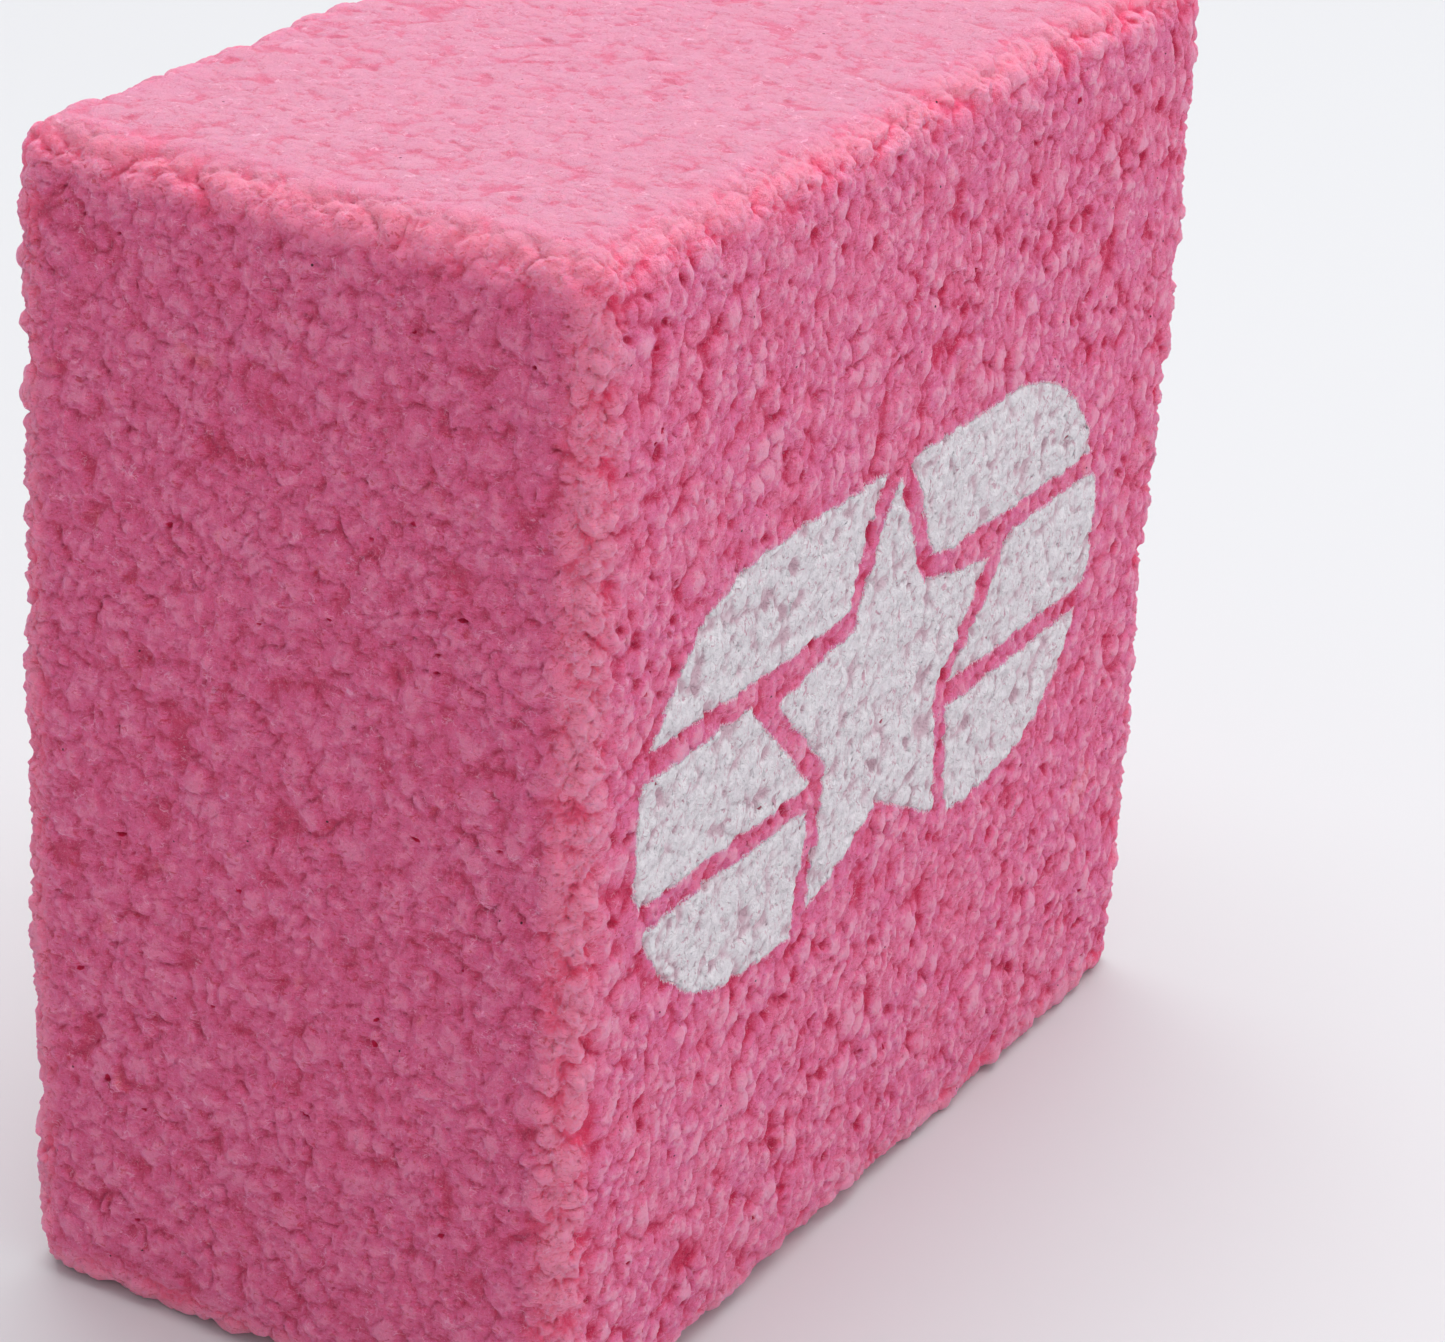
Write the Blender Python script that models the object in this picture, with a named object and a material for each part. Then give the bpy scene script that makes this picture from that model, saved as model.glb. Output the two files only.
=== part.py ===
"""Gymnastics chalk block: a small cake of dyed, pressed magnesium carbonate, printed white on one wide face.

Metres, +Z up. The origin is the centre of the face that the block stands on. X runs along the two wide faces,
Y through the thickness, and the printed face looks towards -Y. Nothing on the object moves.
"""

import math

import bmesh
import bpy
from mathutils import Vector

# The pressed cake, a 2 x 2 x 1 inch block.
BLOCK_WIDTH = 0.0524
BLOCK_THICKNESS = 0.0268
BLOCK_HEIGHT = 0.0510
EDGE_RADIUS = 0.0020
EDGE_SEGMENTS = 5

# The print: white pigment that has soaked into the face, so it lies flush with it.
PRINT_FACE_Y = -BLOCK_THICKNESS / 2
PRINT_DEPTH = 0.0005
PRINT_GAP = 0.0003
CUTTER_REACH = 0.0020
PRINT_CENTRE_X = -0.040 * BLOCK_WIDTH
PRINT_CENTRE_Z = 0.515 * BLOCK_HEIGHT

# The emblem is a round-ended badge, cut by lines of bare chalk into a star and three stripes either side.
BADGE_HALF_LENGTH = 0.0202
BADGE_HALF_HEIGHT = 0.0094
LINE_WIDTH = 0.0012
STRIPE_ROWS = (("upper", +1), ("middle", 0), ("lower", -1))
STRIPE_HEIGHT = (2 * BADGE_HALF_HEIGHT - 2 * LINE_WIDTH) / 3
ROUND_STEPS = 8

# The star reaches further up than down, so a drop centres its height in the badge.
STAR_POINTS = 5
STAR_RADIUS = 0.0098
STAR_INNER_RADIUS = 0.0050
STAR_DROP = STAR_RADIUS * (1 - math.cos(math.pi / STAR_POINTS)) / 2


def grown(outline, distance):
    """An anticlockwise outline with every side moved out by distance."""
    corners = []
    for index, corner in enumerate(outline):
        before = (corner - outline[index - 1]).normalized()
        after = (outline[(index + 1) % len(outline)] - corner).normalized()
        out_before = Vector((before.y, -before.x))
        out_after = Vector((after.y, -after.x))
        mitre = (out_before + out_after) / (1 + out_before.dot(out_after))
        corners.append(corner + distance * mitre)
    return corners


def star_outline():
    """The star, anticlockwise from its top point."""
    corners = []
    for index in range(2 * STAR_POINTS):
        angle = math.pi / 2 + index * math.pi / STAR_POINTS
        radius = STAR_INNER_RADIUS if index % 2 else STAR_RADIUS
        corners.append(Vector((radius * math.cos(angle), radius * math.sin(angle) - STAR_DROP)))
    return corners


def star_side(bottom, top):
    """The line of bare chalk right of the star, as points from the height bottom to the height top."""
    edge = grown(star_outline(), LINE_WIDTH)
    climb = edge[-4:] + edge[:1]  # from the tip of the lower right arm up to the top point
    points = []
    for low, high in zip(climb, climb[1:]):
        for height in (bottom, top):
            if low.y < height <= high.y:
                points.append(low.lerp(high, (height - low.y) / (high.y - low.y)))
        if bottom < high.y < top:
            points.append(high)
    return sorted(points, key=lambda point: point.y)


def stripe_outline(side, row):
    """A stripe in a row, anticlockwise, on the side -1 or +1 of the star, with the badge's round end."""
    middle = row * (STRIPE_HEIGHT + LINE_WIDTH)
    bottom, top = middle - STRIPE_HEIGHT / 2, middle + STRIPE_HEIGHT / 2
    end_centre = BADGE_HALF_LENGTH - BADGE_HALF_HEIGHT
    low_angle = math.asin(max(-1, bottom / BADGE_HALF_HEIGHT))
    high_angle = math.asin(min(1, top / BADGE_HALF_HEIGHT))
    outline = []
    for step in range(ROUND_STEPS + 1):
        angle = low_angle + (high_angle - low_angle) * step / ROUND_STEPS
        reach = end_centre + BADGE_HALF_HEIGHT * math.cos(angle)
        outline.append(Vector((reach, BADGE_HALF_HEIGHT * math.sin(angle))))
    outline += reversed(star_side(bottom, top))
    if side < 0:
        outline = [Vector((-point.x, point.y)) for point in reversed(outline)]
    return outline


def print_outlines():
    """Each patch of the print by name, as an anticlockwise outline about the print's centre."""
    outlines = {"print_star": star_outline()}
    for side_name, side in (("left", -1), ("right", 1)):
        for row_name, row in STRIPE_ROWS:
            outlines[f"print_stripe_{side_name}_{row_name}"] = stripe_outline(side, row)
    return outlines


def add_prism(mesh, outline, front, back):
    """Adds to a bmesh the solid between y = front and y = back of an outline seen from -Y."""
    corners = [
        mesh.verts.new((PRINT_CENTRE_X + p.x, front, PRINT_CENTRE_Z + p.y)) for p in outline
    ]
    face = mesh.faces.new(corners)
    grown = bmesh.ops.extrude_face_region(mesh, geom=[face], use_keep_orig=True)
    moved = [part for part in grown["geom"] if isinstance(part, bmesh.types.BMVert)]
    bmesh.ops.translate(mesh, vec=(0, back - front, 0), verts=moved)


def finish_object(name, mesh, colour=None, roughness=0.9):
    """Turns a bmesh into a scene object with its faces pointing out and its own material."""
    bmesh.ops.recalc_face_normals(mesh, faces=mesh.faces[:])
    data = bpy.data.meshes.new(name)
    mesh.to_mesh(data)
    mesh.free()
    thing = bpy.data.objects.new(name, data)
    bpy.context.scene.collection.objects.link(thing)
    if colour:
        material = bpy.data.materials.new(name)
        material.use_nodes = True
        shader = material.node_tree.nodes["Principled BSDF"]
        shader.inputs["Base Color"].default_value = (*colour, 1)
        shader.inputs["Roughness"].default_value = roughness
        shader.inputs["Metallic"].default_value = 0
        data.materials.append(material)
    return thing


def make_pocket_cutter():
    """The shallow bed of every patch of print, cut a gap wider and deeper than the patch."""
    mesh = bmesh.new()
    bed_y = PRINT_FACE_Y + PRINT_DEPTH + PRINT_GAP
    for outline in print_outlines().values():
        add_prism(mesh, grown(outline, PRINT_GAP), PRINT_FACE_Y - CUTTER_REACH, bed_y)
    cutter = finish_object("pocket_cutter", mesh)
    cutter.hide_render = True
    cutter.display_type = "WIRE"
    return cutter


def make_block(cutter):
    """The pressed cake: a box with rounded edges, with the print's beds cut into its -Y face."""
    mesh = bmesh.new()
    bmesh.ops.create_cube(mesh, size=1)
    bmesh.ops.scale(mesh, vec=(BLOCK_WIDTH, BLOCK_THICKNESS, BLOCK_HEIGHT), verts=mesh.verts[:])
    bmesh.ops.translate(mesh, vec=(0, 0, BLOCK_HEIGHT / 2), verts=mesh.verts[:])
    bmesh.ops.bevel(
        mesh,
        geom=mesh.edges[:],
        offset=EDGE_RADIUS,
        segments=EDGE_SEGMENTS,
        profile=0.5,
        affect="EDGES",
    )
    block = finish_object("chalk_block", mesh, colour=(0.68, 0.15, 0.30), roughness=0.95)
    block.data.shade_smooth()
    block.data.set_sharp_from_angle(angle=math.radians(40))
    beds = block.modifiers.new("print_beds", "BOOLEAN")
    beds.operation = "DIFFERENCE"
    beds.solver = "EXACT"
    beds.object = cutter
    return block


def make_print():
    """Every patch of the white print as a thin solid that lies flush with the face."""
    for name, outline in print_outlines().items():
        mesh = bmesh.new()
        add_prism(mesh, outline, PRINT_FACE_Y, PRINT_FACE_Y + PRINT_DEPTH)
        finish_object(name, mesh, colour=(0.70, 0.69, 0.72), roughness=0.9)


def main():
    for thing in list(bpy.data.objects):
        bpy.data.objects.remove(thing)
    make_block(make_pocket_cutter())
    make_print()


main()
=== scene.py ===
"""Looks of the gymnastics chalk block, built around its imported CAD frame.

The block is one dense mesh: a box with rounded edges whose skin is pushed in and out by noise. The wide
faces have rounded lumps with creases and pits between them, the narrow ones a finer matted grain, the top
and the bottom are calmer, and knobs run along the edges. Each patch of print is a thin skin that follows
the same relief. Metres, +Z up; the relief is worked out in millimetres.
"""

import math

import bpy
import numpy as np
from mathutils import Matrix, Vector


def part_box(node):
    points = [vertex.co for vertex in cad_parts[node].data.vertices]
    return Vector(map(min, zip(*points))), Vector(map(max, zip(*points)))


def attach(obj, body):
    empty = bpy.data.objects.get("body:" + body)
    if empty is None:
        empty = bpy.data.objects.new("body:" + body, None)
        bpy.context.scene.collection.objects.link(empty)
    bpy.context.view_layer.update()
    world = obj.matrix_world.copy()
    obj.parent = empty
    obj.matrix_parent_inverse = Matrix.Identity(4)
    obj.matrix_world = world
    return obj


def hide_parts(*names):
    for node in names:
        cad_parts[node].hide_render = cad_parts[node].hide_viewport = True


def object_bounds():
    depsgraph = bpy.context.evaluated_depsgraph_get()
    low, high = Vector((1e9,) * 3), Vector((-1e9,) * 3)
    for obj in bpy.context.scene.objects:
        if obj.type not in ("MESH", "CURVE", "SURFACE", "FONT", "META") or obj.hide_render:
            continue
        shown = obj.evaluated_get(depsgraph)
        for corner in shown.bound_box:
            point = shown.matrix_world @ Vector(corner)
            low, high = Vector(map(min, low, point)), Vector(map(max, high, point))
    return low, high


MM = 0.001

# The block's skin: the roundness of its edges and the step of its grid, in mm, and the steps in half an edge.
EDGE_RADIUS = 1.6
SKIN_STEP = 0.13
ARC_STEPS = 12

# The print's skin, in mm: its grid's step, how far it stands over and reaches into the chalk, how far its
# torn border strays from the clean outline in its large and its small teeth, how far across those are, how
# far the grid goes past the outline, and how deep a dent the print lies in.
PRINT_STEP = 0.12
PRINT_RISE = 0.04
PRINT_SINK = 0.35
PRINT_RAGGED = (0.12, 0.042)
PRINT_TEETH = (1.2, 0.5)
PRINT_MARGIN = 0.8
PRINT_DENT = 0.2

# Space between the block's sides on its sheet, in mm.
SHEET_GAP = 0.6

# Distances from a patch's border, below 0 inside it, in mm, between which the pigment starts to calm the
# relief, the dent sinks in, the pigment reaches its full height, its border thins and stray pigment fades.
COVERED = (0.15, -0.35)
DENTED = (-0.25, -0.55)
THICKENED = (0.0, -0.15)
THINNED = (-0.30, 0.0)
DUSTED = (0.35, 0.0)

# Distances from an edge of the box within which knobs rise, and from the top or bottom within which they are
# coarse, in mm.
KNOBBED = (2.7, 0.3)
COARSENED = (1.0, 5.0)

# How far across the relief's features are, in mm.
TILT, DRIFT, WAVE, MIX, KNOB, HOLE, PIT = 14, 3.8, 3.0, 2.6, 2.4, 1.9, 1.5
LUMP, SWIRL, BEAD, GRAIN, CRUMB, CURL = 1.25, 0.9, 0.72, 0.45, 0.42, 0.36

# Deepest and shallowest value of the hole number, in mm, that a material still tells apart.
HOLE_RANGE = 0.3

# The camera, as the block was photographed.
CAMERA_PLACE = (-0.14560, -0.08424, 0.09942)
CAMERA_AZIMUTH = -61.32
CAMERA_ELEVATION = 24.68
CAMERA_ROLL = 3.28
CAMERA_LENS = 104.25

# The stage: the floor's width in metres and colour, the light from all round, the backdrop's colour, and the
# distances from the block, in metres, over which the floor turns into the backdrop.
FLOOR_WIDTH = 12
FLOOR_COLOUR = (0.635, 0.64, 0.655, 1)
SKY_COLOUR = (0.93, 0.95, 1.0, 1)
SKY_STRENGTH = 0.51
BACKDROP = (0.88, 0.89, 0.91, 1)
FLOOR_FADE = (0.33, 0.75)

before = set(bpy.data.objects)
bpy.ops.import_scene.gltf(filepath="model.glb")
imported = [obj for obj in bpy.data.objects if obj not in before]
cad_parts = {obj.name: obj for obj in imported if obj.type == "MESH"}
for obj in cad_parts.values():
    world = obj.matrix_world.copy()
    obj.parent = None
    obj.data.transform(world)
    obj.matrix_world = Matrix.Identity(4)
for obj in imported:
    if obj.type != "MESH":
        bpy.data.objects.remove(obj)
cad_low, cad_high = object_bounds()


# ---------------------------------------------------------------- noise


def hashed(cell, salt):
    """A whole number for each whole-number cell, scattered evenly over 32 bits."""
    h = cell[:, 0] * np.uint32(73856093)
    h ^= cell[:, 1] * np.uint32(19349663)
    h ^= cell[:, 2] * np.uint32(83492791)
    h ^= np.uint32(salt * 2654435761 % 2**32)
    h = (h ^ (h >> np.uint32(15))) * np.uint32(2246822519)
    h = (h ^ (h >> np.uint32(13))) * np.uint32(3266489917)
    return h ^ (h >> np.uint32(16))


def triple(h):
    """Three numbers from 0 to 1 out of each hashed cell."""
    parts = (h & np.uint32(1023), (h >> np.uint32(10)) & np.uint32(1023), h >> np.uint32(20))
    scales = (1023, 1023, 4095)
    return np.stack([p.astype(np.float32) / s for p, s in zip(parts, scales)], axis=1)


def corners_of(p):
    """The whole-number cell below each point and the point's place in it."""
    low = np.floor(p)
    return low.astype(np.int64).astype(np.uint32), (p - low).astype(np.float32)


def gradient_noise(p, salt=0):
    """Smooth noise of about -1 to 1 at points p, with one swell per unit."""
    cell, place = corners_of(p)
    ease = place**3 * (place * (place * 6 - 15) + 10)
    total = np.zeros(len(p), np.float32)
    for corner in np.ndindex(2, 2, 2):
        step = np.array(corner, np.uint32)
        slope = triple(hashed(cell + step, salt)) * 2 - 1
        weight = np.prod(np.where(step == 1, ease, 1 - ease), axis=1)
        total += weight * np.sum(slope * (place - step.astype(np.float32)), axis=1)
    return total * 1.6


def layered_noise(p, layers, salt=0):
    """Noise with finer and weaker noise added to it."""
    total = sum(gradient_noise(p * 2**i, salt + i) / 2**i for i in range(layers))
    return total / (2 - 2 ** (1 - layers))


def cell_distance(p, salt=0):
    """Distances to the nearest and second nearest of one scattered point per cell, and a number per cell."""
    cell, place = corners_of(p)
    nearest = np.full(len(p), 9, np.float32)
    second = nearest.copy()
    owner = np.zeros(len(p), np.float32)
    for corner in np.ndindex(3, 3, 3):
        step = np.array(corner, np.int64) - 1
        h = hashed(cell + step.astype(np.uint32), salt)
        gap = triple(h) + step.astype(np.float32) - place
        d = np.sqrt(np.sum(gap * gap, axis=1))
        closer = d < nearest
        second = np.where(closer, nearest, np.minimum(second, d))
        owner = np.where(closer, (h >> np.uint32(7) & np.uint32(255)) / np.float32(255), owner)
        nearest = np.where(closer, d, nearest)
    return nearest, second, owner


def smooth_step(low, high, x):
    """0 below low, 1 above high, with a smooth rise between; high may be the smaller."""
    t = np.clip((x - low) / (high - low), 0, 1)
    return t * t * (3 - 2 * t)


# ---------------------------------------------------------------- relief


BLOCK_LOW, BLOCK_HIGH = (np.array(corner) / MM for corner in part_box("chalk_block"))
BLOCK_CENTRE = (BLOCK_LOW + BLOCK_HIGH) / 2
BLOCK_HALF = (BLOCK_HIGH - BLOCK_LOW) / 2

# The bottom edge is rounder near this upright edge than away from it.
WORN_CORNER = BLOCK_LOW[:2]
WORN_REACH = 42


def pitted(p, spacing, share, smallest, largest, salt):
    """How deep, from 0 to 1, points lie in round hollows about spacing apart, in this share of the cells."""
    distance, _, owner = cell_distance(p / spacing, salt)
    size = owner / share
    radius = smallest + (largest - smallest) * size
    inside = smooth_step(1.0, 0.25, distance * spacing / radius)
    return np.where(owner < share, inside * (0.55 + 0.45 * size), 0)


def lumpy(p, spacing, salt):
    """Rounded lumps about spacing across with creases between them, from about -0.9 to 0.45."""
    distance, second, _ = cell_distance(p / spacing, salt)
    crease = smooth_step(0.16, 0.0, second - distance)
    return 0.45 - np.clip(distance / 0.85, 0, 1.12) ** 2 - 0.22 * crease


def wander(p, size, salts):
    """A smooth shift in three directions at each point, which bends the patterns laid over it."""
    return np.stack([gradient_noise(p / size, salt) for salt in salts], axis=1)


def relief(p, normal, covered):
    """Height of the skin over the smooth block at points p, in mm, and the numbers that its material reads.

    The last argument of each noise is its salt, which sets it apart from the others.
    """
    share = np.abs(normal) ** 4
    share /= share.sum(axis=1, keepdims=True)
    side, wide, end = share.T
    inside = BLOCK_HALF - np.abs(p - BLOCK_CENTRE)
    edge = smooth_step(*KNOBBED, np.sort(inside, axis=1)[:, 1])
    upright = smooth_step(*COARSENED, inside[:, 2])

    swirl = wander(p, SWIRL, (1, 2, 3))
    drift = wander(p, DRIFT, (4, 5, 6))
    curl = wander(p, CURL, (8, 9, 10))
    bent = p + 0.26 * swirl + 0.5 * drift + 0.09 * curl

    # Lumps, coarser here and finer there, with crumbs, grain and pits.
    rough = (0.80 * wide + 0.74 * side + 0.24 * end) * (1 - 0.15 * covered)
    coarse = np.clip(0.5 + 0.9 * gradient_noise(p / MIX, 7), 0, 1)
    pattern = 0.42 * coarse * lumpy(bent, LUMP, 11) + 0.28 * (1 - coarse) * lumpy(bent, BEAD, 17)
    pattern += (0.07 + 0.06 * side) * lumpy(bent, CRUMB, 12)
    pattern += (0.07 + 0.06 * side) * layered_noise(bent / GRAIN, 3, 30)
    pits = 0.46 * pitted(bent, PIT, 0.8, 0.22, 0.52, 13) + 0.20 * pitted(bent, SWIRL, 0.6, 0.14, 0.28, 14)
    pattern -= (1 - 0.7 * side) * pits

    knobs = (0.45 - 0.35 * upright) * lumpy(p + 0.9 * drift + 0.2 * swirl, KNOB, 15)
    knobs = edge * (knobs + 0.5 * lumpy(bent, LUMP, 18) + 0.4 * upright * lumpy(bent, BEAD, 19))
    height = rough * (1 + edge * (0.45 * upright - 0.1)) * pattern + 0.55 * knobs
    height += 0.14 * layered_noise(p / WAVE, 2, 20) + 0.15 * gradient_noise(p / TILT, 40)

    # A few deeper holes, away from the edges and the ends, longer through the thickness than across it.
    distance, _, owner = cell_distance((p + 0.35 * swirl) * (1.7, 1, 1.7) / HOLE, 16)
    hole = np.where(owner < 0.3, HOLE * distance - 0.13 - 0.45 * owner, 1) + edge + end
    height -= 0.20 * smooth_step(0.05, -0.10, hole)

    # Worn edges, most of all along the bottom near one corner.
    down = np.clip(-normal[:, 2], 0, 1) ** 2
    worn = np.linalg.norm(p[:, :2] - WORN_CORNER, axis=1) / WORN_REACH
    height += 0.10 - 0.18 * edge + (2.2 * np.clip(worn, 0, 1) - 0.6) * down * (1 - down)

    values = {"cavity": pattern + 0.45 * knobs, "hole": np.clip(hole, -HOLE_RANGE, HOLE_RANGE)}
    return height, {**values, "edge": edge, "end": end, "side": side}


# ---------------------------------------------------------------- meshes


def axis_points(half, radius):
    """Places along one side of the box, closer together in angle than in length where the edges turn."""
    flat = half - radius
    turns = radius * np.tan(np.linspace(0, math.pi / 4, ARC_STEPS + 1))[1:]
    middle = np.linspace(-flat, flat, round(2 * flat / SKIN_STEP) + 1)
    return np.concatenate([-flat - turns[::-1], middle, flat + turns])


def around(grid):
    """The four corners of each cell of a grid, in order round it, one row per cell."""
    return np.stack([c.ravel() for c in (grid[:-1, :-1], grid[1:, :-1], grid[1:, 1:], grid[:-1, 1:])], axis=1)


def unrolled(places, half):
    """Lengths along the surface to places on one side of the box, from where that side starts."""
    flat = half - EDGE_RADIUS
    turn = EDGE_RADIUS * np.arctan(np.maximum(np.abs(places) - flat, 0) / EDGE_RADIUS)
    length = np.sign(places) * (np.minimum(np.abs(places), flat) + turn)
    return length - length[0]


def box_skin():
    """The smooth block as a closed grid: points and outward normals in millimetres, and its four-sided faces.

    Also gives each face's corners on a square sheet, 1 wide, on which the block's six sides lie apart.
    """
    places = [axis_points(half, EDGE_RADIUS) for half in BLOCK_HALF]
    lengths = [unrolled(places[i], BLOCK_HALF[i]) for i in range(3)]
    counts = [len(a) for a in places]
    wide, thick, _ = 2 * BLOCK_HALF + SHEET_GAP
    corners = {
        (1, False): (0, 0),
        (1, True): (wide, 0),
        (2, True): (0, wide),
        (0, False): (0, wide + thick),
        (0, True): (wide, wide),
        (2, False): (wide + thick, wide),
    }
    faces, keys, sheet = [], [], []
    for axis in range(3):
        u_axis, v_axis = (axis + 1) % 3, (axis + 2) % 3
        for end in (0, counts[axis] - 1):
            index = np.zeros((counts[u_axis], counts[v_axis], 3), np.int64)
            index[..., axis] = end
            index[..., u_axis] = np.arange(counts[u_axis])[:, None]
            index[..., v_axis] = np.arange(counts[v_axis])[None, :]
            key = (index[..., 0] * counts[1] + index[..., 1]) * counts[2] + index[..., 2]
            loop = around(key)
            u, v = np.meshgrid(lengths[u_axis], lengths[v_axis], indexing="ij")
            flat_loop = np.stack([around(u), around(v)], axis=2)
            if end == 0:
                loop, flat_loop = loop[:, ::-1], flat_loop[:, ::-1, ::-1]
            faces.append(loop)
            keys.append(key.ravel())
            sheet.append((flat_loop + corners[axis, end > 0]) / (wide + 2 * thick))
    unique = np.unique(np.concatenate(keys))
    quads = np.searchsorted(unique, np.concatenate(faces))
    index = np.stack(np.unravel_index(unique, counts), axis=1)
    cube = np.stack([places[i][index[:, i]] for i in range(3)], axis=1)
    flat = BLOCK_HALF - EDGE_RADIUS
    core = np.clip(cube, -flat, flat)
    normal = cube - core
    normal /= np.linalg.norm(normal, axis=1, keepdims=True)
    return BLOCK_CENTRE + core + EDGE_RADIUS * normal, normal, quads, np.concatenate(sheet)


def make_mesh(name, points, quads, sheet, values):
    """A smooth mesh object from points in metres and faces, with named numbers at each point."""
    data = bpy.data.meshes.new(name)
    data.vertices.add(len(points))
    data.vertices.foreach_set("co", points.astype(np.float32).ravel())
    data.loops.add(quads.size)
    data.loops.foreach_set("vertex_index", quads.astype(np.int32).ravel())
    data.polygons.add(len(quads))
    data.polygons.foreach_set("loop_start", np.arange(0, quads.size, quads.shape[1], dtype=np.int32))
    data.update(calc_edges=True)
    data.uv_layers.new(name="OFBake").data.foreach_set("uv", sheet.astype(np.float32).ravel())
    data.validate()
    for value_name, value in values.items():
        attribute = data.attributes.new(value_name, "FLOAT", "POINT")
        attribute.data.foreach_set("value", value.astype(np.float32))
    data.shade_smooth()
    thing = bpy.data.objects.new(name, data)
    bpy.context.scene.collection.objects.link(thing)
    return thing


def patch_outline(node):
    """A CAD patch's outline as line segments in X and Z, in millimetres: its front face's outer edges."""
    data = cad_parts[node].data
    points = np.array([v.co for v in data.vertices]) / MM
    front = points[:, 1] < points[:, 1].min() + 0.01
    edges = {}
    for face in data.polygons:
        if all(front[list(face.vertices)]):
            ends = [tuple(np.round(points[i, ::2], 4)) for i in face.vertices]
            for a, b in zip(ends, ends[1:] + ends[:1]):
                edges[frozenset((a, b))] = edges.get(frozenset((a, b)), 0) + 1
    return np.array([sorted(pair) for pair, times in edges.items() if times == 1])


def distance_to_outline(x, z, outline):
    """Signed distance of points to an outline, below 0 inside it."""
    distance = np.full(len(x), 1e9)
    inside = np.zeros(len(x), bool)
    for (ax, az), (bx, bz) in outline:
        ex, ez = bx - ax, bz - az
        t = np.clip(((x - ax) * ex + (z - az) * ez) / (ex * ex + ez * ez), 0, 1)
        distance = np.minimum(distance, np.hypot(x - ax - t * ex, z - az - t * ez))
        if az != bz:
            crosses = (az > z) != (bz > z)
            inside ^= crosses & (x < ax + ex * (z - az) / ez)
    return np.where(inside, -distance, distance)


def ragged_distance(x, z, outline):
    """Distance to a patch's real, torn border, which strays from the clean outline."""
    p = np.stack([x, np.full(len(x), BLOCK_LOW[1]), z], axis=1)
    teeth = zip(PRINT_RAGGED, PRINT_TEETH, (51, 52))
    stray = sum(far * gradient_noise(p / size, salt) for far, size, salt in teeth)
    return distance_to_outline(x, z, outline) + stray


PRINT_NODES = sorted(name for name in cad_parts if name.startswith("print_"))
OUTLINES = {name: patch_outline(name) for name in PRINT_NODES}


def make_block():
    """The block's skin, with shallow beds under the print and a little stray pigment around them."""
    p, normal, quads, sheet = box_skin()
    front = normal[:, 1] < -0.99
    print_distance = np.full(len(p), 1.0)
    for outline in OUTLINES.values():
        low, high = outline.min(axis=(0, 1)) - 1, outline.max(axis=(0, 1)) + 1  # well past any stray pigment
        near = front & np.all((p[:, ::2] > low) & (p[:, ::2] < high), axis=1)
        here = ragged_distance(p[near, 0], p[near, 2], outline)
        print_distance[near] = np.minimum(print_distance[near], here)
    height, values = relief(p, normal, smooth_step(*COVERED, print_distance))
    height -= PRINT_DENT * smooth_step(*DENTED, print_distance)
    values["dusting"] = smooth_step(*DUSTED, print_distance)
    points = (p + normal * height[:, None]) * MM
    points[:, 2] = np.maximum(points[:, 2], 0)
    return make_mesh("chalk_block_skin", points, quads, sheet, values)


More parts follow.
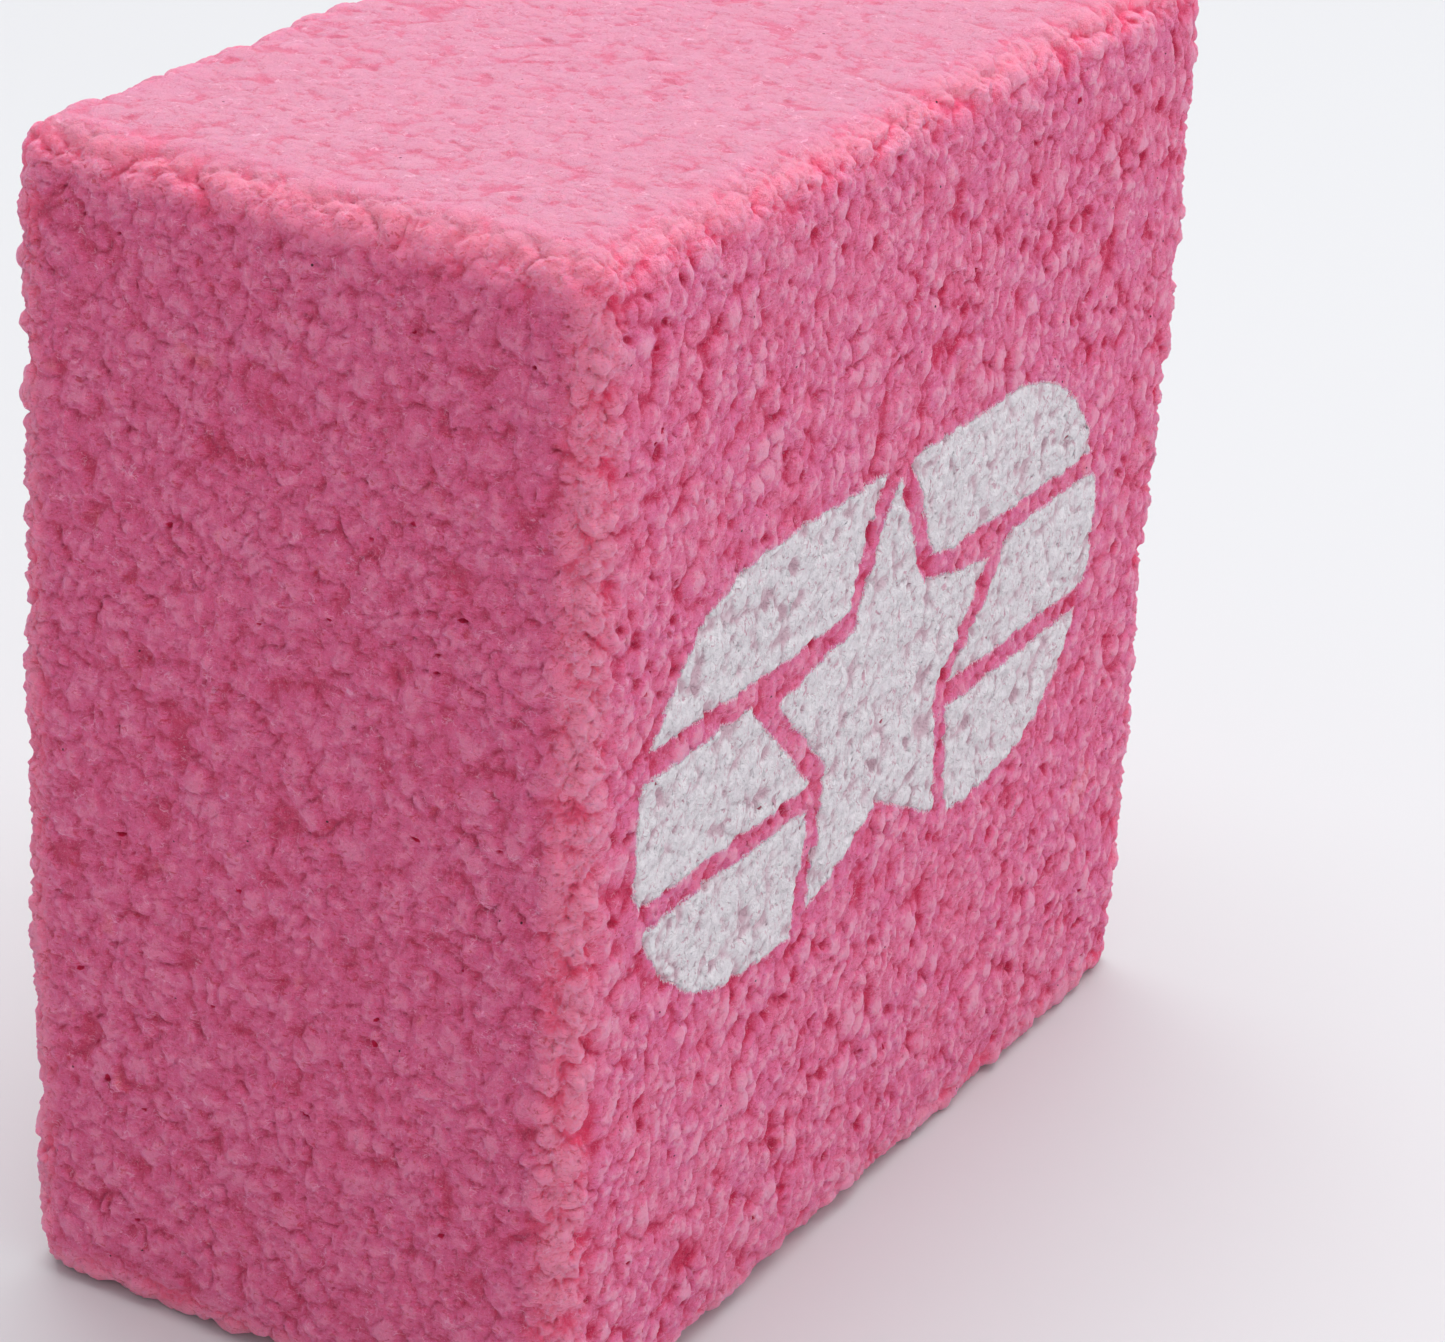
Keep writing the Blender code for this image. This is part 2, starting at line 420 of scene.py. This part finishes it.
def make_patch(node):
    """One patch of print: a thin closed skin over the relief, with a torn border."""
    outline = OUTLINES[node]
    low, high = outline.min(axis=(0, 1)) - PRINT_MARGIN, outline.max(axis=(0, 1)) + PRINT_MARGIN
    count = np.round((high - low) / PRINT_STEP).astype(int) + 1
    places = [np.linspace(low[i], high[i], count[i]) for i in range(2)]
    x, z = (grid.ravel() for grid in np.meshgrid(*places, indexing="ij"))
    distance = ragged_distance(x, z, outline)
    number = np.arange(len(x)).reshape(count)
    quads = around(number)
    quads = quads[np.mean(distance[quads], axis=1) < 0]
    used, quads = np.unique(quads, return_inverse=True)
    quads = quads.reshape(-1, 4)
    x, z, distance = x[used], z[used], distance[used]

    # Points on the border slide onto the torn line itself.
    edges = np.concatenate([quads[:, [i, (i + 1) % 4]] for i in range(4)])
    key = np.sort(edges, axis=1) @ np.array([len(x), 1])
    _, first, times = np.unique(key, return_index=True, return_counts=True)
    border = edges[first[times == 1]]
    rim = np.unique(border)
    nudge, furthest = 0.02, PRINT_STEP / 2
    for _ in range(3):
        d = ragged_distance(x[rim], z[rim], outline)
        dx = (ragged_distance(x[rim] + nudge, z[rim], outline) - d) / nudge
        dz = (ragged_distance(x[rim], z[rim] + nudge, outline) - d) / nudge
        steepness = np.maximum(dx * dx + dz * dz, 0.3)
        x[rim] -= np.clip(d * dx / steepness, -furthest, furthest)
        z[rim] -= np.clip(d * dz / steepness, -furthest, furthest)
    distance[rim] = 0

    p = np.stack([x, np.full(len(x), BLOCK_LOW[1]), z], axis=1)
    normal = np.broadcast_to(np.array([0.0, -1.0, 0.0]), p.shape)
    height, values = relief(p, normal, smooth_step(*COVERED, distance))
    cover = PRINT_RISE * smooth_step(*THICKENED, distance)
    top = p + normal * (height + cover)[:, None]
    under = p + normal * (height - PRINT_SINK)[:, None]
    total = len(x)
    walls = np.stack([border[:, 1], border[:, 0], border[:, 0] + total, border[:, 1] + total], axis=1)
    faces = np.concatenate([quads, quads[:, ::-1] + total, walls])
    points = np.concatenate([top, under]) * MM

    # On the sheet the walls fold outward round the face, and the underside lies small beside it.
    face = p[:, ::2] - low
    folded = face.copy()
    folded[rim] += PRINT_SINK * np.stack([dx, dz], axis=1) / np.sqrt(steepness)[:, None]
    shrunk = 0.25
    small = shrunk * face + (high[0] - low[0], 0)
    a, b = walls[:, 0], walls[:, 1]
    wall_sheet = np.stack([face[a], face[b], folded[b], folded[a]], axis=1)
    sheet = np.concatenate([face[quads], small[quads[:, ::-1]], wall_sheet])
    sheet /= max((1 + shrunk) * (high[0] - low[0]), high[1] - low[1])
    values["rim"] = smooth_step(*THINNED, distance)
    values = {name: np.tile(values[name], 2) for name in ("cavity", "hole", "rim")}
    return make_mesh(node + "_skin", points, faces, sheet, values)


# ---------------------------------------------------------------- materials


# Colours of the chalk: linear red, green and blue, and opacity.
PINK_COOL = (0.83, 0.169, 0.350, 1)
PINK_WARM = (0.86, 0.181, 0.339, 1)
# Painted shade: the narrow sides are darker and more saturated than the wide faces.
PINK_SIDE_PAINTED_SHADE = (0.765, 0.132, 0.288, 1)
PINK_END = (0.655, 0.264, 0.368, 1)
# Painted light: the edges' coral stands in for light that scatters through the chalk there.
CORAL_UPRIGHT_PAINTED_LIGHT = (0.98, 0.272, 0.415, 1)
CORAL_RIM_PAINTED_LIGHT = (0.88, 0.262, 0.372, 1)
# Painted highlight on the crests of the lumps.
CREST_HIGHLIGHT = (0.90, 0.352, 0.505, 1)
# Painted shade in the hollows, darker and redder; at the edges it stays brighter and redder, for light
# scattered through the chalk.
HOLLOW_PAINTED_SHADE = (0.68, 0.040, 0.122, 1)
HOLLOW_SIDE_PAINTED_SHADE = (0.59, 0.035, 0.092, 1)
HOLLOW_EDGE_PAINTED_SHADE = (0.93, 0.095, 0.215, 1)
STAIN = (0.93, 0.33, 0.26, 1)
DASH = (0.54, 0.040, 0.090, 1)
SPOT = (0.58, 0.034, 0.060, 1)
# Painted shade in the deep holes.
DEEP_HOLE_PAINTED_SHADE = (0.62, 0.014, 0.070, 1)
SPECK = (0.10, 0.03, 0.04, 1)
STRAND = (0.94, 0.44, 0.66, 1)
WISP = (0.97, 0.55, 0.74, 1)
STRAY_PIGMENT = (0.97, 0.60, 0.70, 1)

# Colours of the print.
WHITE_DULL = (0.80, 0.745, 0.785, 1)
WHITE_CLEAN = (0.875, 0.83, 0.86, 1)
WHITE_FIBRE = (0.93, 0.92, 0.94, 1)
# Thin pigment over the pink chalk in hollows and pores, painted darker as shade.
WHITE_THIN_AND_PAINTED_SHADE = (0.61, 0.315, 0.405, 1)
# Chalk showing in holes under the print, painted darker as shade.
PRINT_HOLE_CHALK_AND_PAINTED_SHADE = (0.50, 0.11, 0.17, 1)
BARE_CHALK = (0.92, 0.22, 0.39, 1)


def new_material(name):
    material = bpy.data.materials.new(name)
    material.use_nodes = True
    return material, material.node_tree, material.node_tree.nodes["Principled BSDF"]


class Nodes:
    """Short names for adding linked nodes to one node tree."""

    def __init__(self, tree):
        self.tree = tree
        self.position = self.add("ShaderNodeTexCoord").outputs["Object"]

    def add(self, kind, **settings):
        node = self.tree.nodes.new(kind)
        for key, value in settings.items():
            setattr(node, key, value)
        return node

    def feed(self, socket, value):
        if isinstance(value, bpy.types.NodeSocket):
            self.tree.links.new(value, socket)
        elif value is not None:
            socket.default_value = value

    def number(self, name):
        return self.add("ShaderNodeAttribute", attribute_name=name).outputs["Fac"]

    def math(self, operation, a, b=None, c=None):
        node = self.add("ShaderNodeMath", operation=operation)
        for socket, value in zip(node.inputs, (a, b, c)):
            self.feed(socket, value)
        return node.outputs[0]

    def times(self, a, b):
        return self.math("MULTIPLY", a, b)

    def line(self, value, slope, start):
        """start + slope * value"""
        return self.math("MULTIPLY_ADD", value, slope, start)

    def highest(self, a, b):
        return self.math("MAXIMUM", a, b)

    def noise(self, size, detail=2.0, stretch=(1, 1, 1), bend=0.0, rough=0.5):
        """Noise with swells of about size metres, longer along an axis whose stretch is over 1."""
        mapping = self.add("ShaderNodeMapping")
        self.feed(mapping.inputs["Vector"], self.position)
        mapping.inputs["Scale"].default_value = [1 / s for s in stretch]
        node = self.add("ShaderNodeTexNoise")
        self.feed(node.inputs["Vector"], mapping.outputs[0])
        node.inputs["Scale"].default_value = 1 / size
        node.inputs["Detail"].default_value = detail
        node.inputs["Roughness"].default_value = rough
        node.inputs["Distortion"].default_value = bend
        return node.outputs["Fac"]

    def cells(self, size):
        """Distance, in cells of about size metres, to the nearest scattered point, and a number per cell."""
        node = self.add("ShaderNodeTexVoronoi")
        self.feed(node.inputs["Vector"], self.position)
        node.inputs["Scale"].default_value = 1 / size
        return node.outputs["Distance"], node.outputs["Color"]

    def ramp(self, value, low, high):
        """0 where value is below low and 1 above high; high may be the smaller."""
        node = self.add("ShaderNodeMapRange", interpolation_type="SMOOTHSTEP")
        self.feed(node.inputs["Value"], value)
        node.inputs["From Min"].default_value = min(low, high)
        node.inputs["From Max"].default_value = max(low, high)
        node.inputs["To Min"].default_value = 0 if low < high else 1
        node.inputs["To Max"].default_value = 1 if low < high else 0
        return node.outputs["Result"]

    def blend(self, share, a, b):
        """Colour a where share is 0 and b where it is 1."""
        node = self.add("ShaderNodeMix", data_type="RGBA")
        self.feed(node.inputs["Factor"], share)
        self.feed(node.inputs[6], a)  # a Mix node's colour sockets share their names with its others
        self.feed(node.inputs[7], b)
        return node.outputs[2]

    def bump(self, height, distance, below=None):
        """A normal for height, which is distance metres from 0 to 1, on top of another bump's normal."""
        node = self.add("ShaderNodeBump")
        node.inputs["Strength"].default_value = 1.0
        node.inputs["Distance"].default_value = distance
        self.feed(node.inputs["Height"], height)
        self.feed(node.inputs["Normal"], below)
        return node.outputs["Normal"]


def chalk_material():
    """Dyed pressed chalk: pink, with painted shade that makes the hollows and holes darker and redder,
    painted highlights on the crests, painted shade on the narrow sides, coral edges painted brighter as
    scattered light, and a paler top.
    """
    material, tree, shader = new_material("pressed_chalk")
    n = Nodes(tree)
    patches = n.noise(3.2 * MM, 3, bend=0.6)
    mottle = n.noise(0.60 * MM, 4, bend=0.8, rough=0.7)
    dashes = n.noise(0.16 * MM, 2, stretch=(2.6, 2.6, 1), bend=1.5)
    dust = n.noise(0.085 * MM, 2, rough=0.7)
    fibre = n.noise(0.15 * MM, 3, stretch=(1, 1, 3.0), bend=2.0, rough=0.65)
    fibre_across = n.noise(0.13 * MM, 3, stretch=(4, 4, 1), bend=2.0, rough=0.65)
    hole, end, side, edge = (n.number(name) for name in ("hole", "end", "side", "edge"))
    cavity = n.line(mottle, 0.30, n.math("ADD", n.number("cavity"), -0.15))
    calm = n.line(end, -0.6, n.line(side, -0.15, 1.0))
    # How much painted highlight the crests get: less on the sides, the edges, the top and the bottom.
    highlight_share = n.line(end, -0.75, n.line(side, -0.45, 0.85))
    highlight_share = n.highest(n.line(edge, -0.3, highlight_share), 0.1)

    # The ground colour of each side and edge, with faint stains. The narrow sides are painted darker as
    # shade, and the edges are painted brighter coral as light that scatters through the chalk.
    colour = n.blend(n.ramp(patches, 0.36, 0.64), PINK_COOL, PINK_WARM)
    # Painted shade: the narrow sides turn darker and more saturated.
    colour = n.blend(n.times(side, 0.9), colour, PINK_SIDE_PAINTED_SHADE)
    # Painted light: the edges turn brighter coral, for light scattered through the chalk.
    rim = n.blend(n.ramp(end, 0.0, 0.4), CORAL_UPRIGHT_PAINTED_LIGHT, CORAL_RIM_PAINTED_LIGHT)
    colour = n.blend(n.times(n.ramp(edge, 0.15, 0.95), 0.9), colour, rim)
    flat_end = n.times(n.ramp(end, 0.6, 0.98), n.line(edge, -0.5, 0.9))
    colour = n.blend(flat_end, colour, PINK_END)
    stain = n.times(n.ramp(n.noise(2.6 * MM, 2, bend=1.0), 0.66, 0.78), n.math("SUBTRACT", 0.28, end))
    colour = n.blend(stain, colour, STAIN)

    # Dark dashes, painted highlights on the crests, painted shade in the hollows, and spots.
    deep = n.line(edge, -0.2, n.line(calm, 0.45, 0.15))
    deep = n.times(n.ramp(dashes, 0.46, 0.28), n.highest(deep, 0.1))
    colour = n.blend(deep, colour, DASH)
    colour = n.blend(n.times(n.ramp(cavity, 0.0, 0.15), highlight_share), colour, CREST_HIGHLIGHT)
    # Painted shade: the hollows turn darker and redder, less on the sides and least on the top and bottom.
    hollow_shade = n.times(n.ramp(cavity, 0.0, -0.25), n.line(side, -0.2, calm))
    hollow_shade_colour = n.blend(n.ramp(edge, 0.1, 0.8), n.blend(side, HOLLOW_PAINTED_SHADE, HOLLOW_SIDE_PAINTED_SHADE), HOLLOW_EDGE_PAINTED_SHADE)
    colour = n.blend(hollow_shade, colour, hollow_shade_colour)
    spots = n.noise(0.30 * MM, 3, stretch=(1.7, 1.7, 1), bend=1.0, rough=0.6)
    colour = n.blend(n.times(n.ramp(spots, 0.41, 0.30), n.line(side, 0.45, 0.15)), colour, SPOT)

    # Pale strands and wisps, painted shade in the holes, dark specks and stray pigment.
    strands = n.highest(n.ramp(fibre, 0.56, 0.74), n.ramp(fibre_across, 0.56, 0.74))
    strands = n.highest(strands, n.ramp(dust, 0.54, 0.74))
    colour = n.blend(n.times(strands, n.line(end, -0.14, 0.32)), colour, STRAND)
    thread = n.math("SUBTRACT", n.noise(0.55 * MM, 2, stretch=(1.6, 1.6, 1), bend=1.2), 0.5)
    wisps = n.ramp(n.math("ABSOLUTE", thread), 0.022, 0.006)
    wisps = n.times(wisps, n.ramp(n.noise(0.8 * MM, 1), 0.56, 0.66))
    colour = n.blend(n.times(wisps, 0.35), colour, WISP)
    # Painted shade: the deep holes turn dark red.
    colour = n.blend(n.ramp(hole, 0.04, -0.02), colour, DEEP_HOLE_PAINTED_SHADE)
    near, owner = n.cells(0.9 * MM)
    colour = n.blend(n.times(n.ramp(near, 0.075, 0.045), n.ramp(owner, 0.80, 0.82)), colour, SPECK)
    colour = n.blend(n.ramp(n.line(n.number("dusting"), 0.5, fibre), 0.86, 1.02), colour, STRAY_PIGMENT)
    n.feed(shader.inputs["Base Color"], colour)

    n.feed(shader.inputs["Roughness"], n.line(mottle, 0.2, 0.78))
    shader.inputs["Specular IOR Level"].default_value = 0.12
    shader.inputs["Subsurface Weight"].default_value = 0.8
    shader.inputs["Subsurface Radius"].default_value = (1.0, 0.22, 0.34)
    shader.inputs["Subsurface Scale"].default_value = 0.45 * MM
    shader.inputs["Sheen Weight"].default_value = 0.05
    shader.inputs["Sheen Roughness"].default_value = 0.6
    shader.inputs["Sheen Tint"].default_value = (1.0, 0.75, 0.82, 1)

    grain = n.bump(n.noise(0.20 * MM, 4, bend=1.0, rough=0.7), 0.085 * MM)
    for fine in (dust, fibre, fibre_across):
        grain = n.bump(fine, 0.05 * MM, grain)
    n.feed(shader.inputs["Normal"], grain)
    return material


def print_material():
    """Dry white pigment on the chalk: fibrous and porous, with pink showing faintly in its hollows and pores,
    which are also painted darker as shade.
    """
    material, tree, shader = new_material("white_print")
    n = Nodes(tree)
    mottle = n.noise(0.8 * MM, 4, bend=1.0, rough=0.6)
    pores = n.noise(0.36 * MM, 3, stretch=(1, 1, 1.5), bend=1.2, rough=0.6)
    fibre = n.noise(0.12 * MM, 3, stretch=(3.5, 1, 1), bend=2.5, rough=0.65)
    colour = n.blend(n.ramp(mottle, 0.35, 0.7), WHITE_DULL, WHITE_CLEAN)
    # The hollows and pores show pink through thin pigment and are painted darker as shade.
    thin_and_shade = n.times(n.ramp(n.number("cavity"), 0.0, -0.22), 0.65)
    thin_and_shade = n.highest(thin_and_shade, n.times(n.ramp(pores, 0.44, 0.31), 0.8))
    colour = n.blend(thin_and_shade, colour, WHITE_THIN_AND_PAINTED_SHADE)
    # The holes show chalk, painted darker as shade.
    colour = n.blend(n.ramp(n.number("hole"), 0.04, -0.02), colour, PRINT_HOLE_CHALK_AND_PAINTED_SHADE)
    colour = n.blend(n.times(n.ramp(fibre, 0.58, 0.75), 0.25), colour, WHITE_FIBRE)
    bare = n.math("SUBTRACT", n.times(n.number("rim"), 0.50), fibre)
    colour = n.blend(n.ramp(bare, 0.03, 0.12), colour, BARE_CHALK)
    n.feed(shader.inputs["Base Color"], colour)

    n.feed(shader.inputs["Roughness"], n.line(mottle, 0.2, 0.75))
    shader.inputs["Specular IOR Level"].default_value = 0.2
    shader.inputs["Subsurface Weight"].default_value = 0.15
    shader.inputs["Subsurface Radius"].default_value = (1.0, 0.8, 0.8)
    shader.inputs["Subsurface Scale"].default_value = 0.25 * MM

    grain = n.bump(n.noise(0.42 * MM, 3, bend=1.0, rough=0.6), 0.25 * MM)
    grain = n.bump(pores, 0.16 * MM, grain)
    n.feed(shader.inputs["Normal"], n.bump(fibre, 0.025 * MM, grain))
    return material


# ---------------------------------------------------------------- stage


def make_camera():
    azimuth, elevation = math.radians(CAMERA_AZIMUTH), math.radians(CAMERA_ELEVATION)
    back = Vector(
        (
            math.sin(azimuth) * math.cos(elevation),
            -math.cos(azimuth) * math.cos(elevation),
            math.sin(elevation),
        )
    )
    data = bpy.data.cameras.new("camera")
    data.lens = CAMERA_LENS
    data.sensor_width = 36
    data.clip_start = 0.01
    data.clip_end = 20
    camera = bpy.data.objects.new("camera", data)
    level = (-back).to_track_quat("-Z", "Y").to_matrix().to_4x4()
    camera.matrix_world = (
        Matrix.Translation(CAMERA_PLACE) @ level @ Matrix.Rotation(math.radians(CAMERA_ROLL), 4, "Z")
    )
    bpy.context.scene.collection.objects.link(camera)
    bpy.context.scene.camera = camera


def area_light(name, place, target, size, power, colour):
    data = bpy.data.lights.new(name, "AREA")
    data.shape = "RECTANGLE"
    data.size, data.size_y = size
    data.energy = power
    data.color = colour
    lamp = bpy.data.objects.new(name, data)
    lamp.location = place
    lamp.rotation_euler = (Vector(target) - Vector(place)).to_track_quat("-Z", "Y").to_euler()
    bpy.context.scene.collection.objects.link(lamp)


def make_stage():
    """A plain pale floor under soft light from above."""
    bpy.ops.mesh.primitive_plane_add(size=FLOOR_WIDTH, location=(0, 0, 0))
    floor = bpy.context.object
    floor.name = "floor"
    material, tree, shader = new_material("pale_floor")
    shader.inputs["Base Color"].default_value = FLOOR_COLOUR
    shader.inputs["Roughness"].default_value = 0.7

    # Well beyond the photographed view the floor turns into the backdrop, so a low view has no dark horizon.
    n = Nodes(tree)
    away = n.add("ShaderNodeVectorMath", operation="LENGTH")
    n.feed(away.inputs[0], n.position)
    glow = n.add("ShaderNodeEmission")
    glow.inputs["Color"].default_value = BACKDROP
    mix = n.add("ShaderNodeMixShader")
    n.feed(mix.inputs[0], n.ramp(away.outputs["Value"], *FLOOR_FADE))
    n.feed(mix.inputs[1], shader.outputs[0])
    n.feed(mix.inputs[2], glow.outputs[0])
    n.feed(tree.nodes["Material Output"].inputs["Surface"], mix.outputs[0])
    floor.data.materials.append(material)

    centre = (0, 0, 0.5 * cad_high.z)
    area_light("overhead", (0.13, 0.05, 0.73), centre, (0.8, 0.8), 6.0, (1.0, 0.99, 0.98))
    area_light("front_fill", (0.34, -0.42, 0.40), (0.05, -0.02, 0), (0.3, 0.3), 0.6, (1.0, 0.98, 0.98))
    area_light("corner_fill", (-0.50, -0.50, 0.25), centre, (0.6, 0.6), 0.95, (1.0, 0.98, 0.98))

    world = bpy.data.worlds.new("studio")
    bpy.context.scene.world = world
    world.use_nodes = True
    nodes, links = world.node_tree.nodes, world.node_tree.links
    background = nodes["Background"]
    background.inputs["Color"].default_value = SKY_COLOUR
    background.inputs["Strength"].default_value = SKY_STRENGTH
    seen = nodes.new("ShaderNodeBackground")
    seen.inputs["Color"].default_value = BACKDROP
    mix = nodes.new("ShaderNodeMixShader")
    path = nodes.new("ShaderNodeLightPath")
    links.new(path.outputs["Is Camera Ray"], mix.inputs[0])
    links.new(background.outputs[0], mix.inputs[1])
    links.new(seen.outputs[0], mix.inputs[2])
    links.new(mix.outputs[0], nodes["World Output"].inputs[0])
    bpy.context.scene.view_settings.view_transform = "Standard"


# ---------------------------------------------------------------- the scene


make_camera()
make_stage()

chalk = chalk_material()
block = make_block()
block.data.materials.append(chalk)
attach(block, "root")
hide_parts("chalk_block")

pigment = print_material()
for node_name in PRINT_NODES:
    patch = make_patch(node_name)
    patch.data.materials.append(pigment)
    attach(patch, "root")
    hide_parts(node_name)
